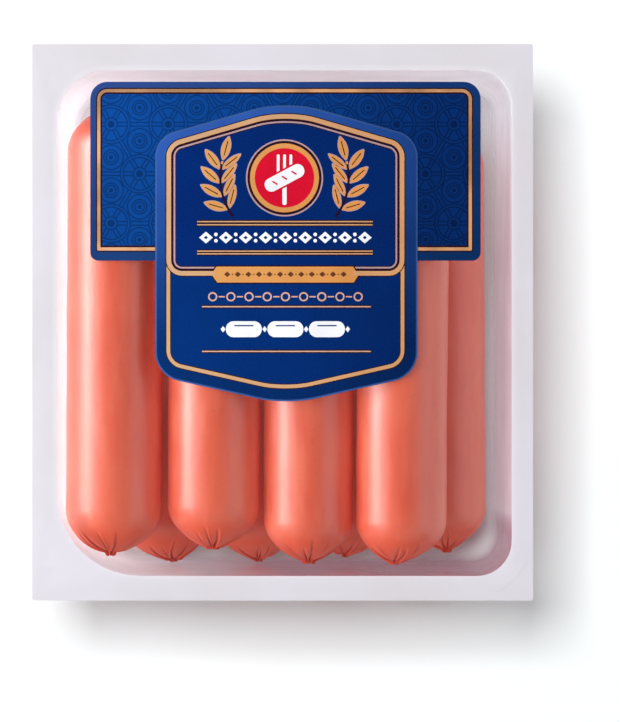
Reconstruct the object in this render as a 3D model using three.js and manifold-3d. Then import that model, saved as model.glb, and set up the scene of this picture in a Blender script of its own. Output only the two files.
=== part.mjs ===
import * as THREE from 'three';
import { mergeVertices } from 'three/addons/utils/BufferGeometryUtils.js';
import Module from 'manifold-3d';

// A chilled pack of eight frankfurters: a clear formed tray, the frankfurters in two nested rows,
// a clear film sealed over the tray's flange, and two paper labels stuck on the film.
// Millimetres, +Z up. The origin is on the tray's underside, under the middle of the flange.
// +Y points to the end of the pack that the wide label lies at.

// Flange: the flat sealed edge round the tray, cut square.
const flange = { width: 135, length: 150, thickness: 0.6, cornerRadius: 0.6 };

// Pocket: the deep space inside the flange, measured inside at its opening.
const pocket = { width: 122.6, length: 136.4, centreX: 0.5, centreY: -0.2, depth: 48.8 };
const pocketRadii = { rightTop: 9.5, leftTop: 13.5, leftBottom: 22.5, rightBottom: 9.5 };
const wallThickness = 0.4;
const wallDraft = THREE.MathUtils.degToRad(3);
const floorFillet = 8;
const lipRadius = 1;
const leastCornerRadius = 2;

// Frankfurters: x is the middle of each, tip the y of its lower end, lean a turn seen from above,
// and nibX and nibZ say how far the gathered lower end is pushed aside and up.
const backRow = [
  { x: -33.0, tip: -66.1, radius: 12.3, length: 119.6, lean: 0.5, nibX: 2.4, nibZ: 0.4 },
  { x: -7.4, tip: -66.1, radius: 12.3, length: 120.4, lean: 0.1, nibX: 0.6, nibZ: -0.5 },
  { x: 18.2, tip: -64.9, radius: 12.2, length: 118.8, lean: -0.1, nibX: -1.2, nibZ: 0.6 },
  { x: 43.4, tip: -63.5, radius: 12.4, length: 119.2, lean: 0.3, nibX: 1.6, nibZ: 1.0 },
];
const frontRow = [
  { x: -45.7, tip: -63.4, radius: 13.1, length: 122.7, lean: -0.3, nibX: -0.9, nibZ: 2.2 },
  { x: -18.6, tip: -61.7, radius: 12.6, length: 119.0, lean: -0.2, nibX: -0.3, nibZ: 0.3 },
  { x: 7.0, tip: -65.7, radius: 12.1, length: 120.6, lean: 0.0, nibX: 0.0, nibZ: -0.3 },
  { x: 32.6, tip: -65.9, radius: 12.3, length: 119.4, lean: -0.5, nibX: -1.3, nibZ: 0.2 },
];
const domeStretch = 1.0; // a rounded end is this many radii long
const domePoint = 1.4; // above 1, the end runs to a blunt point
const domeAngles = [14, 33, 52, 71, 90];
const bodyStations = 3;
const pleats = 12;
const pleatDepth = 0.1;
const nibRadius = 1.5;
const nibLength = 1.1;
const contactGap = 0.3; // left between neighbours that touch

// Lid film and the two labels on it.
const filmThickness = 0.15;
const paperThickness = 0.15;
const panel = { left: -51.8, right: 53.4, bottom: 16.6, top: 64.8, topRadius: 4.6, bottomRadius: 2.2 };
const shield = {
  centreX: 1.05,
  halfWidth: 35.35,
  topPeak: 59.9,
  topShoulder: 49.9,
  bottomShoulder: -14.4,
  bottomPoint: -22.3,
  peakRadius: 32,
  topRadius: 6.7,
  bottomRadius: 7.7,
  pointRadius: 34,
};

const cornerSteps = 7;
const roundSides = 2 * pleats;
const filletSteps = 4;
const floorTop = wallThickness;
const flangeTop = floorTop + pocket.depth;
const flangeBottom = flangeTop - flange.thickness;
const filmTop = flangeTop + filmThickness;
const panelTop = filmTop + paperThickness;
const shieldTop = panelTop + paperThickness;

const materials = {
  tray: { color: 0xe6e3ea, roughness: 0.15, metalness: 0, transparent: true, opacity: 0.35 },
  film: { color: 0xf0eef4, roughness: 0.1, metalness: 0, transparent: true, opacity: 0.25 },
  meat: { color: 0xe2694a, roughness: 0.4, metalness: 0 },
  panel: { color: 0x1f4fa3, roughness: 0.5, metalness: 0 },
  shield: { color: 0x123a85, roughness: 0.45, metalness: 0 },
};

function addMesh(parent, name, geometry, material) {
  const mesh = new THREE.Mesh(geometry, new THREE.MeshStandardMaterial(material));
  mesh.name = name;
  parent.add(mesh);
  return mesh;
}

// A rounded rectangle at one height, with the same number of points at every size.
function roundedRing(box, radii, z) {
  const corners = [
    { x: box.right, y: box.top, alongX: -1, alongY: -1, radius: radii.rightTop },
    { x: box.left, y: box.top, alongX: 1, alongY: -1, radius: radii.leftTop },
    { x: box.left, y: box.bottom, alongX: 1, alongY: 1, radius: radii.leftBottom },
    { x: box.right, y: box.bottom, alongX: -1, alongY: 1, radius: radii.rightBottom },
  ];
  const ring = [];
  corners.forEach((corner, quarter) => {
    for (let step = 0; step <= cornerSteps; step++) {
      const angle = (quarter + step / cornerSteps) * Math.PI / 2;
      const x = corner.x + corner.radius * (corner.alongX + Math.cos(angle));
      const y = corner.y + corner.radius * (corner.alongY + Math.sin(angle));
      ring.push(new THREE.Vector3(x, y, z));
    }
  });
  return ring;
}

// The pocket's ring drawn in by an inset, so that an outset has a negative one.
function pocketRing(inset, z) {
  const box = {
    left: pocket.centreX - pocket.width / 2 + inset,
    right: pocket.centreX + pocket.width / 2 - inset,
    bottom: pocket.centreY - pocket.length / 2 + inset,
    top: pocket.centreY + pocket.length / 2 - inset,
  };
  const radii = {};
  for (const [corner, radius] of Object.entries(pocketRadii)) {
    radii[corner] = Math.max(radius - inset, leastCornerRadius);
  }
  return roundedRing(box, radii, z);
}

function flangeRing(z) {
  const box = {
    left: -flange.width / 2,
    right: flange.width / 2,
    bottom: -flange.length / 2,
    top: flange.length / 2,
  };
  const radius = flange.cornerRadius;
  return roundedRing(box, { rightTop: radius, leftTop: radius, leftBottom: radius, rightBottom: radius }, z);
}

// The pocket's wall from its floor up, for the inner skin or, with an outset, for the outer one.
function pocketSkin(outset, topZ) {
  const tangentZ = floorTop + floorFillet;
  const filletInset = (flangeTop - tangentZ) * Math.tan(wallDraft) + floorFillet;
  const radius = floorFillet + outset;
  const rings = [];
  for (let step = filletSteps; step >= 0; step--) {
    const angle = step / filletSteps * Math.PI / 2;
    rings.push(pocketRing(filletInset - radius * Math.cos(angle), tangentZ - radius * Math.sin(angle)));
  }
  rings.push(pocketRing((flangeTop - topZ) * Math.tan(wallDraft) - outset, topZ));
  return rings;
}

// A closed surface through a stack of rings, with a fan of triangles over each end.
function loft(rings) {
  const count = rings[0].length;
  const middle = (ring) => ring.reduce((sum, point) => sum.add(point), new THREE.Vector3()).divideScalar(count);
  const points = [middle(rings[0]), ...rings.flat(), middle(rings[rings.length - 1])];
  const last = points.length - 1;
  const faces = [];
  for (let i = 0; i < count; i++) {
    const next = (i + 1) % count;
    faces.push(0, 1 + next, 1 + i);
    for (let ring = 0; ring < rings.length - 1; ring++) {
      const low = 1 + ring * count;
      const high = low + count;
      faces.push(low + i, low + next, high + next);
      faces.push(low + i, high + next, high + i);
    }
    faces.push(last, last - count + i, last - count + next);
  }
  return new THREE.BufferGeometry().setFromPoints(points).setIndex(faces);
}

function trayGeometry() {
  const outside = pocketSkin(wallThickness, flangeBottom);
  const inside = pocketSkin(0, flangeTop - lipRadius);
  return loft([
    ...outside,
    flangeRing(flangeBottom),
    flangeRing(flangeTop),
    pocketRing(-lipRadius, flangeTop),
    pocketRing(-lipRadius * (1 - Math.SQRT1_2), flangeTop - lipRadius * (1 - Math.SQRT1_2)),
    ...inside.reverse(),
  ]);
}

// Half of a frankfurter's outline, from the end of its gathered nib to its straight side.
function endProfile(radius) {
  const points = [new THREE.Vector2(0, 0), new THREE.Vector2(0.8 * nibRadius, 0.1 * nibLength)];
  points.push(new THREE.Vector2(nibRadius, 0.6 * nibLength));
  for (const degrees of domeAngles) {
    const angle = THREE.MathUtils.degToRad(degrees);
    const across = radius * Math.sin(angle) ** domePoint;
    const along = nibLength + domeStretch * radius * (1 - Math.cos(angle));
    points.push(new THREE.Vector2(across, along));
  }
  return points;
}

function frankfurterGeometry(sausage) {
  const { radius, length, nibX, nibZ } = sausage;
  const lower = endProfile(radius);
  const upper = lower.map((point) => new THREE.Vector2(point.x, length - point.y)).reverse();
  const bodyStart = lower[lower.length - 1].y;
  const bodyLength = length - 2 * bodyStart;
  const body = [];
  for (let station = 1; station <= bodyStations; station++) {
    body.push(new THREE.Vector2(radius, bodyStart + bodyLength * station / (bodyStations + 1)));
  }
  const geometry = new THREE.LatheGeometry([...lower, ...body, ...upper], roundSides);
  const position = geometry.getAttribute('position');
  const point = new THREE.Vector3();
  for (let i = 0; i < position.count; i++) {
    point.fromBufferAttribute(position, i);
    const across = Math.hypot(point.x, point.z);
    const towardsTip = 1 - across / radius;
    const angle = Math.atan2(point.z, point.x);
    const fold = 1 + pleatDepth * towardsTip * Math.cos(pleats * angle);
    const side = point.y < length / 2 ? 1 : -0.5;
    point.x = point.x * fold + side * nibX * towardsTip ** 2;
    point.z = point.z * fold + side * nibZ * towardsTip ** 2;
    position.setXYZ(i, point.x, point.y - length / 2, point.z);
  }
  return geometry;
}

// The middle line's x at a height y on the pack.
function middleX(sausage, y) {
  const centreY = sausage.tip + sausage.length / 2;
  return sausage.x - (y - centreY) * Math.tan(THREE.MathUtils.degToRad(sausage.lean));
}

// How high a frankfurter of the front row comes to lie on the two below it.
function restingHeight(sausage, below, belowZ) {
  let highest = 0;
  for (const under of below) {
    for (const y of [-48, 0, 44]) {
      const across = middleX(sausage, y) - middleX(under, y);
      const reach = sausage.radius + under.radius + contactGap;
      if (Math.abs(across) < reach) {
        highest = Math.max(highest, belowZ(under) + Math.sqrt(reach ** 2 - across ** 2));
      }
    }
  }
  return highest;
}

function addFrankfurters(parent) {
  const backZ = (sausage) => floorTop + contactGap + sausage.radius;
  const frontZ = (sausage) => restingHeight(sausage, backRow, backZ);
  const rows = [
    { name: 'frankfurter_back', row: backRow, height: backZ },
    { name: 'frankfurter_front', row: frontRow, height: frontZ },
  ];
  for (const { name, row, height } of rows) {
    row.forEach((sausage, i) => {
      const mesh = addMesh(parent, `${name}_${i + 1}`, frankfurterGeometry(sausage), materials.meat);
      mesh.position.set(sausage.x, sausage.tip + sausage.length / 2, height(sausage));
      mesh.rotation.z = THREE.MathUtils.degToRad(sausage.lean);
    });
  }
}

// A closed outline from its sharp corners, each rounded by an arc of its own radius.
function roundedOutline(corners) {
  const shape = new THREE.Shape();
  corners.forEach((corner, i) => {
    const here = new THREE.Vector2(corner.x, corner.y);
    const before = corners[(i + corners.length - 1) % corners.length];
    const after = corners[(i + 1) % corners.length];
    const back = new THREE.Vector2(before.x, before.y).sub(here).normalize();
    const ahead = new THREE.Vector2(after.x, after.y).sub(here).normalize();
    const halfAngle = Math.acos(back.dot(ahead)) / 2;
    const centre = back.clone().add(ahead).setLength(corner.radius / Math.sin(halfAngle)).add(here);
    const trim = corner.radius / Math.tan(halfAngle);
    const start = back.multiplyScalar(trim).add(here).sub(centre);
    const end = ahead.multiplyScalar(trim).add(here).sub(centre);
    shape.absarc(centre.x, centre.y, corner.radius, start.angle(), end.angle(), false);
  });
  shape.closePath();
  return shape;
}

function slab(outline, bottomZ, topZ) {
  const geometry = new THREE.ExtrudeGeometry(outline, {
    depth: topZ - bottomZ,
    bevelEnabled: false,
    curveSegments: cornerSteps,
  });
  return geometry.translate(0, 0, bottomZ);
}

function filmGeometry() {
  const x = flange.width / 2;
  const y = flange.length / 2;
  const radius = flange.cornerRadius;
  const corners = [
    { x, y, radius },
    { x: -x, y, radius },
    { x: -x, y: -y, radius },
    { x, y: -y, radius },
  ];
  return slab(roundedOutline(corners), flangeTop, filmTop);
}

// The wide label, or with a margin the room that it takes out of the label over it.
function panelGeometry(margin, bottomZ, topZ) {
  const corners = [
    { x: panel.right + margin, y: panel.top + margin, radius: panel.topRadius + margin },
    { x: panel.left - margin, y: panel.top + margin, radius: panel.topRadius + margin },
    { x: panel.left - margin, y: panel.bottom - margin, radius: panel.bottomRadius + margin },
    { x: panel.right + margin, y: panel.bottom - margin, radius: panel.bottomRadius + margin },
  ];
  return slab(roundedOutline(corners), bottomZ, topZ);
}

function shieldOutline() {
  const { centreX, halfWidth } = shield;
  return roundedOutline([
    { x: centreX, y: shield.topPeak, radius: shield.peakRadius },
    { x: centreX - halfWidth, y: shield.topShoulder, radius: shield.topRadius },
    { x: centreX - halfWidth, y: shield.bottomShoulder, radius: shield.bottomRadius },
    { x: centreX, y: shield.bottomPoint, radius: shield.pointRadius },
    { x: centreX + halfWidth, y: shield.bottomShoulder, radius: shield.bottomRadius },
    { x: centreX + halfWidth, y: shield.topShoulder, radius: shield.topRadius },
  ]);
}

function toSolid(wasm, geometry) {
  const bare = geometry.clone();
  bare.deleteAttribute('normal');
  bare.deleteAttribute('uv');
  const merged = mergeVertices(bare, 1e-4);
  const vertProperties = new Float32Array(merged.getAttribute('position').array);
  const triVerts = new Uint32Array(merged.index.array);
  return new wasm.Manifold(new wasm.Mesh({ numProp: 3, vertProperties, triVerts }));
}

function toGeometry(solid) {
  const mesh = solid.getMesh();
  const geometry = new THREE.BufferGeometry();
  geometry.setAttribute('position', new THREE.BufferAttribute(mesh.vertProperties, mesh.numProp));
  geometry.setIndex(new THREE.BufferAttribute(mesh.triVerts, 1));
  return geometry;
}

// The shield lies on the panel above and on the film below, so the panel's room is cut out under it.
async function shieldGeometry() {
  const wasm = await Module();
  wasm.setup();
  const paper = toSolid(wasm, slab(shieldOutline(), filmTop, shieldTop));
  const panelRoom = toSolid(wasm, panelGeometry(contactGap, filmTop - 1, panelTop));
  return toGeometry(paper.subtract(panelRoom));
}

const pack = new THREE.Group();
pack.name = 'frankfurter_pack';
addMesh(pack, 'tray', trayGeometry(), materials.tray);
addFrankfurters(pack);
addMesh(pack, 'lid_film', filmGeometry(), materials.film);
addMesh(pack, 'label_panel', panelGeometry(0, filmTop, panelTop), materials.panel);
addMesh(pack, 'label_shield', await shieldGeometry(), materials.shield);

export default pack;
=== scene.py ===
import bmesh
import bpy
import math
import random
from mathutils import Matrix, Vector, noise


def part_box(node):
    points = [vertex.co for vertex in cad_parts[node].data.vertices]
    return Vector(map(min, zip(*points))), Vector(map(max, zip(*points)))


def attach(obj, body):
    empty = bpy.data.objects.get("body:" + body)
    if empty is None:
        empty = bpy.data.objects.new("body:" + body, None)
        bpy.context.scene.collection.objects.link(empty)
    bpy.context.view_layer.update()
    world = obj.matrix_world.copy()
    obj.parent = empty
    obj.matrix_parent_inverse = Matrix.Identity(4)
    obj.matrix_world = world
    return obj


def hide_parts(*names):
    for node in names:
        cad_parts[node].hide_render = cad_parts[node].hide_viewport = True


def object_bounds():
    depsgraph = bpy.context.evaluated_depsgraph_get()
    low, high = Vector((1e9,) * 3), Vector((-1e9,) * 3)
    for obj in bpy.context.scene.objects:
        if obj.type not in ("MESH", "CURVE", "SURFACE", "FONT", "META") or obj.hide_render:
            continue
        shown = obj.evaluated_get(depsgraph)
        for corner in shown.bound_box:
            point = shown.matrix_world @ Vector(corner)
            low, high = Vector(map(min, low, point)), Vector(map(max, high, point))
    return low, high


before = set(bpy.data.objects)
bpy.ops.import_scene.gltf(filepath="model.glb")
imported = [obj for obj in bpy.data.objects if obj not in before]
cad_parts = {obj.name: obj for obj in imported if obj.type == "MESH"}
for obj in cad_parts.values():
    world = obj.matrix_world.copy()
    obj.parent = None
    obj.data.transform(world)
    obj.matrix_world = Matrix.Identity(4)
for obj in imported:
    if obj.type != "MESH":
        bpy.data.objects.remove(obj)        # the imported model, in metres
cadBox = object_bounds()
mm = 0.001               # meshes are built in millimetres and scaled when finished
weldGap = 1e-4           # points this close become one
cutGap = 1e-5            # points this close to a cut lie on it


def boxInMm(node):
    low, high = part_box(node)
    return low / mm, high / mm


def displayColour(red, green, blue):
    # a colour as a screen shows it, 0 to 255, turned into the linear one that shaders take
    parts = [part / 255 for part in (red, green, blue)]
    return (*[((part + 0.055) / 1.055) ** 2.4 if part > 0.04 else part / 12.92 for part in parts], 1.0)


def smoothStep(low, high, value):
    share = min(max((value - low) / (high - low), 0.0), 1.0)
    return share * share * (3 - 2 * share)


# Node helpers

def newTree(name):
    material = bpy.data.materials.new(name)
    material.use_nodes = True
    material.node_tree.nodes.clear()
    return material, material.node_tree


def setInput(tree, socket, value):
    if isinstance(value, bpy.types.NodeSocket):
        tree.links.new(value, socket)
    else:
        socket.default_value = value


def addNode(tree, kind, inputs=None, **settings):
    node = tree.nodes.new(kind)
    for name, value in settings.items():
        setattr(node, name, value)
    for name, value in (inputs or {}).items():
        setInput(tree, node.inputs[name], value)
    return node


def addMath(tree, operation, first, second=0.0):
    return addNode(tree, "ShaderNodeMath", {0: first, 1: second}, operation=operation).outputs[0]


def addMix(tree, factor, first, second, blend="MIX"):
    node = addNode(tree, "ShaderNodeMix", data_type="RGBA", blend_type=blend)
    setInput(tree, node.inputs["Factor"], factor)
    setInput(tree, node.inputs[6], first)      # A and B of the colour pair
    setInput(tree, node.inputs[7], second)
    return node.outputs[2]


def addRange(tree, value, low, high, newLow=0.0, newHigh=1.0, smooth=True):
    kind = "SMOOTHSTEP" if smooth else "LINEAR"
    inputs = {"Value": value, "From Min": low, "From Max": high, "To Min": newLow, "To Max": newHigh}
    return addNode(tree, "ShaderNodeMapRange", inputs, interpolation_type=kind).outputs[0]


noiseSpan = (0.3, 0.7)       # where a noise's values mostly lie


def objectPoint(tree):
    return addNode(tree, "ShaderNodeTexCoord").outputs["Object"]


def addNoise(tree, point, scale, detail=2.0):
    inputs = {"Vector": point, "Scale": scale, "Detail": detail, "Roughness": 0.5}
    return addNode(tree, "ShaderNodeTexNoise", inputs).outputs["Fac"]


def stretchPoint(tree, point, scale):
    return addNode(tree, "ShaderNodeMapping", {"Vector": point, "Scale": scale}).outputs[0]


def addBump(tree, height, strength, distance):
    inputs = {"Height": height, "Strength": strength, "Distance": distance}
    return addNode(tree, "ShaderNodeBump", inputs).outputs[0]


def closeTree(tree, shader):
    output = tree.nodes.new("ShaderNodeOutputMaterial")
    tree.links.new(shader, output.inputs["Surface"])


# Mesh helpers

def roundedFace(mesh, corners, z, segments):
    # a flat face whose sharp corners (x, y, radius) are each cut to an arc of that radius
    earlier = set(mesh.faces)
    points = [mesh.verts.new((x, y, z)) for x, y, radius in corners]
    mesh.faces.new(points)
    for index, (x, y, radius) in enumerate(corners):
        here = Vector((x, y))
        back = Vector(corners[index - 1][:2]) - here
        ahead = Vector(corners[(index + 1) % len(corners)][:2]) - here
        trim = radius / math.tan(back.angle(ahead) / 2)
        bmesh.ops.bevel(mesh, geom=[points[index]], offset=trim, offset_type="OFFSET", segments=segments,
                        profile=0.5, affect="VERTICES", material=-1)
    return next(face for face in mesh.faces if face not in earlier)


def insetCorners(corners, inset, leastRadius=0.05):
    # the same outline drawn in by an inset, with each arc's middle left where it is
    moved = []
    for index, (x, y, radius) in enumerate(corners):
        here = Vector((x, y))
        back = (Vector(corners[index - 1][:2]) - here).normalized()
        ahead = (Vector(corners[(index + 1) % len(corners)][:2]) - here).normalized()
        half = back.angle(ahead) / 2
        here += (back + ahead).normalized() * inset / math.sin(half)
        moved.append((here.x, here.y, max(radius - inset, leastRadius)))
    return moved


def rectangle(left, right, bottom, top, radii):
    # counterclockwise from the right top corner, the radii in that order
    points = [(right, top), (left, top), (left, bottom), (right, bottom)]
    return [(x, y, radius) for (x, y), radius in zip(points, radii)]


def loopOf(mesh, corners, z, segments):
    # the same outline as a ring of points, with no face in it
    face = roundedFace(mesh, corners, z, segments)
    points = list(face.verts)
    bmesh.ops.delete(mesh, geom=[face], context="FACES_ONLY")
    return points


def joinLoops(mesh, first, second, material):
    # a band of four-sided faces between two rings that were made alike, point by point
    for index in range(len(first)):
        face = mesh.faces.new((first[index - 1], first[index], second[index], second[index - 1]))
        face.material_index = material


def nestedBands(mesh, outlines, z, segments, materials):
    # outlines one inside another: a band of its own material between each two, and a face in the last
    outer = loopOf(mesh, outlines[0], z, segments)
    for outline, material in zip(outlines[1:-1], materials):
        inner = loopOf(mesh, outline, z, segments)
        joinLoops(mesh, outer, inner, material)
        outer = inner
    face = roundedFace(mesh, outlines[-1], z, segments)
    face.material_index = materials[-1]
    joinLoops(mesh, outer, list(face.verts), materials[-2])


def faceUp(mesh):
    # a flat sheet's faces all turned to look up
    mesh.normal_update()
    bmesh.ops.reverse_faces(mesh, faces=[face for face in mesh.faces if face.normal.z < 0])


def cutAcross(mesh, place, normal):
    geometry = list(mesh.verts) + list(mesh.edges) + list(mesh.faces)
    bmesh.ops.bisect_plane(mesh, geom=geometry, dist=cutGap, plane_co=place, plane_no=normal)


def cutEvery(mesh, step, reach):
    # cuts a flat sheet along a square grid, so that it can follow what it lies on
    for axis in (Vector((1, 0, 0)), Vector((0, 1, 0))):
        for index in range(-int(reach / step), int(reach / step) + 1):
            cutAcross(mesh, axis * index * step, axis)


def thicken(mesh, thickness, backMaterial=None):
    # gives a sheet that looks up its thickness downwards, and closes it round the edge
    top = list(mesh.faces)
    copy = bmesh.ops.duplicate(mesh, geom=top + list(mesh.edges) + list(mesh.verts))
    below = [item for item in copy["geom"] if isinstance(item, bmesh.types.BMFace)]
    verts = [item for item in copy["geom"] if isinstance(item, bmesh.types.BMVert)]
    bmesh.ops.translate(mesh, vec=(0, 0, -thickness), verts=verts)
    bmesh.ops.reverse_faces(mesh, faces=below)
    if backMaterial is not None:
        for face in below:
            face.material_index = backMaterial
    for edge, other in copy["edge_map"].items():
        if edge.is_boundary and other.is_boundary and edge.verts[0].co.z > other.verts[0].co.z:
            face = edge.link_faces[0]
            loop = next(loop for loop in face.loops if loop.edge == edge)
            start, end = loop.vert, loop.link_loop_next.vert
            lowStart, lowEnd = copy["vert_map"][start], copy["vert_map"][end]
            side = mesh.faces.new((end, start, lowStart, lowEnd))
            side.material_index = face.material_index


def finishPiece(name, mesh, materials, nodes, sharpAngle=35):
    bmesh.ops.scale(mesh, vec=(mm, mm, mm), verts=mesh.verts)
    data = bpy.data.meshes.new(name)
    mesh.to_mesh(data)
    mesh.free()
    data.shade_smooth()
    data.set_sharp_from_angle(angle=math.radians(sharpAngle))
    for material in materials:
        data.materials.append(material)
    piece = bpy.data.objects.new(name, data)
    bpy.context.scene.collection.objects.link(piece)
    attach(piece, "root")
    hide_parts(*nodes)
    return piece


# Camera: straight above the pack, as far to the side and below as the photograph's frame has it

camera = {
    "x": 7.41,
    "y": -10.44,
    "height": 1300,          # above the lid film
    "frameHeight": 722,
    "pixelSize": 0.2695,     # on the lid film
    "sensor": 36,
    "nearest": 10,           # nothing closer to the camera shows
}


def placeCamera():
    filmTop = boxInMm("lid_film")[1].z
    data = bpy.data.cameras.new("camera")
    data.sensor_width = camera["sensor"]
    data.lens = camera["sensor"] * camera["height"] / (camera["frameHeight"] * camera["pixelSize"])
    data.clip_start = camera["nearest"] * mm
    eye = bpy.data.objects.new("camera", data)
    eye.location = Vector((camera["x"], camera["y"], filmTop + camera["height"])) * mm
    bpy.context.scene.collection.objects.link(eye)
    bpy.context.scene.camera = eye


placeCamera()
print("camera placed")


# Frankfurters

frankfurterLook = {
    "steps": 256,            # round each
    "domeStretch": 0.92,     # a rounded end is this many radii long
    "domePoint": 1.5,        # above 1, the end runs to a blunt point
    "nibLength": 0.5,
    "nibLip": ((0.0, 0.5), (0.3, 0.42), (0.58, 0.14), (0.84, 0.0), (1.0, 0.1), (1.1, 0.36), (1.18, 0.7)),
    "leastRise": 0.12,       # the rounded end starts where it is this much wider than the nib
    "fineReach": 7.4,        # as far from the tip as the creases go
    "fineStep": 0.36,
    "coarseStep": 1.2,
    "bodyStep": 4.5,
    "creaseCount": 14,
    "creaseShift": 0.3,      # of the way to the next one, at most
    "creaseLength": (4.2, 7.6),            # along the sausage
    "creaseDepth": (0.5, 1.1),
    "creaseWidth": (0.17, 0.28),
    "creaseBend": 0.22,
    "deepest": 1.1,          # where creases cross, they go no deeper
    "nibPull": 2,            # above 1, only the skin near the tip follows a nib that is pushed aside
    "upperShare": -0.5,      # the upper end's nib is pushed the other way, by this part
    "unevenness": 0.16,
    "unevenScale": 0.055,
    "unevenFrom": (1, 9),    # from the middle line; the tips stay even
    "endsFrom": 1.0,         # from the tip, where the darker colour of the ends starts to fade
}
nibShape = {                 # the tied knot; distances from its middle are in nib widths
    "edge": (0.9, 1.6),      # its own form fades out here
    "lumps": ((2, 0.2, 1), (5, 0.14, 2)),      # round it: how many, how high, how far turned
    "lip": 0.5,
    "lipWaves": (9, 0.1),
    "darkness": (0.3, 0.6),  # the knot's own darker colour all over, and more of it in the middle as painted shade in its hollow
    "darkFrom": (0.15, 0.75),
}
creaseShape = {              # a sharp valley with one long and one short slope, and a ridge beside it
    "starts": (0.6, 1.5),    # from the middle line, in nib widths
    "fade": 0.7,
    "widths": (0.6, 0.9),    # at the tip, and more of it further out
    "longSlope": 4.6,        # these are in widths of the crease
    "shortSlope": 1.5,
    "ridgePlace": 2.3,
    "ridgeWidth": 1.3,
    "shares": (0.6, 0.4, 0.36),            # of the depth: valley, slope and ridge
}

# lean is a turn seen from above, in degrees; the nibs are pushed aside and up; nibWidth is their radius
frankfurters = {
    "frankfurter_back_1": {"lean": 0.5, "nibX": 2.4, "nibZ": 0.4, "nibWidth": 1.1, "seed": 11,
                           "domePoint": 1.3},
    "frankfurter_back_2": {"lean": 0.1, "nibX": 0.6, "nibZ": -0.5, "nibWidth": 1.0, "seed": 12},
    "frankfurter_back_3": {"lean": -0.1, "nibX": -1.2, "nibZ": 0.6, "nibWidth": 0.9, "seed": 13},
    "frankfurter_back_4": {"lean": 0.3, "nibX": 1.9, "nibZ": 1.0, "nibWidth": 1.2, "seed": 14,
                           "domePoint": 1.65},
    "frankfurter_front_1": {"lean": -0.3, "nibX": -0.9, "nibZ": 3.2, "nibWidth": 1.3, "seed": 15,
                            "domeStretch": 0.9, "domePoint": 1.1, "nibLength": 0.9},
    "frankfurter_front_2": {"lean": -0.2, "nibX": -0.3, "nibZ": 0.3, "nibWidth": 1.7, "seed": 16,
                            "domePoint": 1.38, "nibLength": 0.3},
    "frankfurter_front_3": {"lean": 0.0, "nibX": 0.0, "nibZ": -0.3, "nibWidth": 1.5, "seed": 17},
    "frankfurter_front_4": {"lean": -0.5, "nibX": -2.0, "nibZ": 0.2, "nibWidth": 1.2, "seed": 18,
                            "domePoint": 1.4},
}


def endOutline(radius, look):
    # (distance from the middle line, distance from the tip), from the tied nib to the straight side
    length = look["domeStretch"] * radius
    outline = [(across * look["nibWidth"], along) for across, along in look["nibLip"]]
    angle = 0.0
    while angle < math.pi / 2:
        across = radius * math.sin(angle) ** look["domePoint"]
        along = length * (1 - math.cos(angle))
        if across > outline[-1][0] + look["leastRise"]:
            outline.append((across, look["nibLength"] + along))
        angle += (look["fineStep"] if along < look["fineReach"] else look["coarseStep"]) / radius
    outline.append((radius, look["nibLength"] + length))
    return outline


def drawCreases(draw):
    look = frankfurterLook
    turn = 2 * math.pi / look["creaseCount"]
    return [{
        "angle": (index + draw.uniform(-look["creaseShift"], look["creaseShift"])) * turn,
        "length": draw.uniform(*look["creaseLength"]),
        "depth": draw.uniform(*look["creaseDepth"]),
        "width": draw.uniform(*look["creaseWidth"]),
        "bend": draw.uniform(-look["creaseBend"], look["creaseBend"]),
        "side": draw.choice((-1, 1)),
    } for index in range(look["creaseCount"])]


def bell(distance, width):
    return math.exp(-(distance / width) ** 2)


def creaseAt(creases, across, fromTip, angle, nibWidth):
    # how deep the gathered skin is folded in at this place, and how much of that is the fold's sharp bottom,
    # which is coloured darker as painted shade
    shape = creaseShape
    start, end = [edge * nibWidth for edge in shape["starts"]]
    tipWidth, widening = shape["widths"]
    valleyShare, slopeShare, ridgeShare = shape["shares"]
    depth = 0.0
    bottom = 0.0
    for crease in creases:
        if fromTip >= crease["length"]:
            continue
        share = fromTip / crease["length"]
        turned = angle - crease["angle"] - crease["bend"] * share
        turned = (turned + math.pi) % (2 * math.pi) - math.pi
        aside = turned * across * crease["side"]
        fade = (1 - share) ** shape["fade"] * smoothStep(start, end, across)
        width = crease["width"] * (tipWidth + widening * share)
        valley = bell(aside, width)
        slope = bell(aside, width * (shape["longSlope"] if aside > 0 else shape["shortSlope"]))
        ridge = bell(aside + shape["ridgePlace"] * width, shape["ridgeWidth"] * width)
        depth += crease["depth"] * fade * (valleyShare * valley + slopeShare * slope - ridgeShare * ridge)
        bottom = max(bottom, valley * fade)
    return depth, bottom


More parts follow.
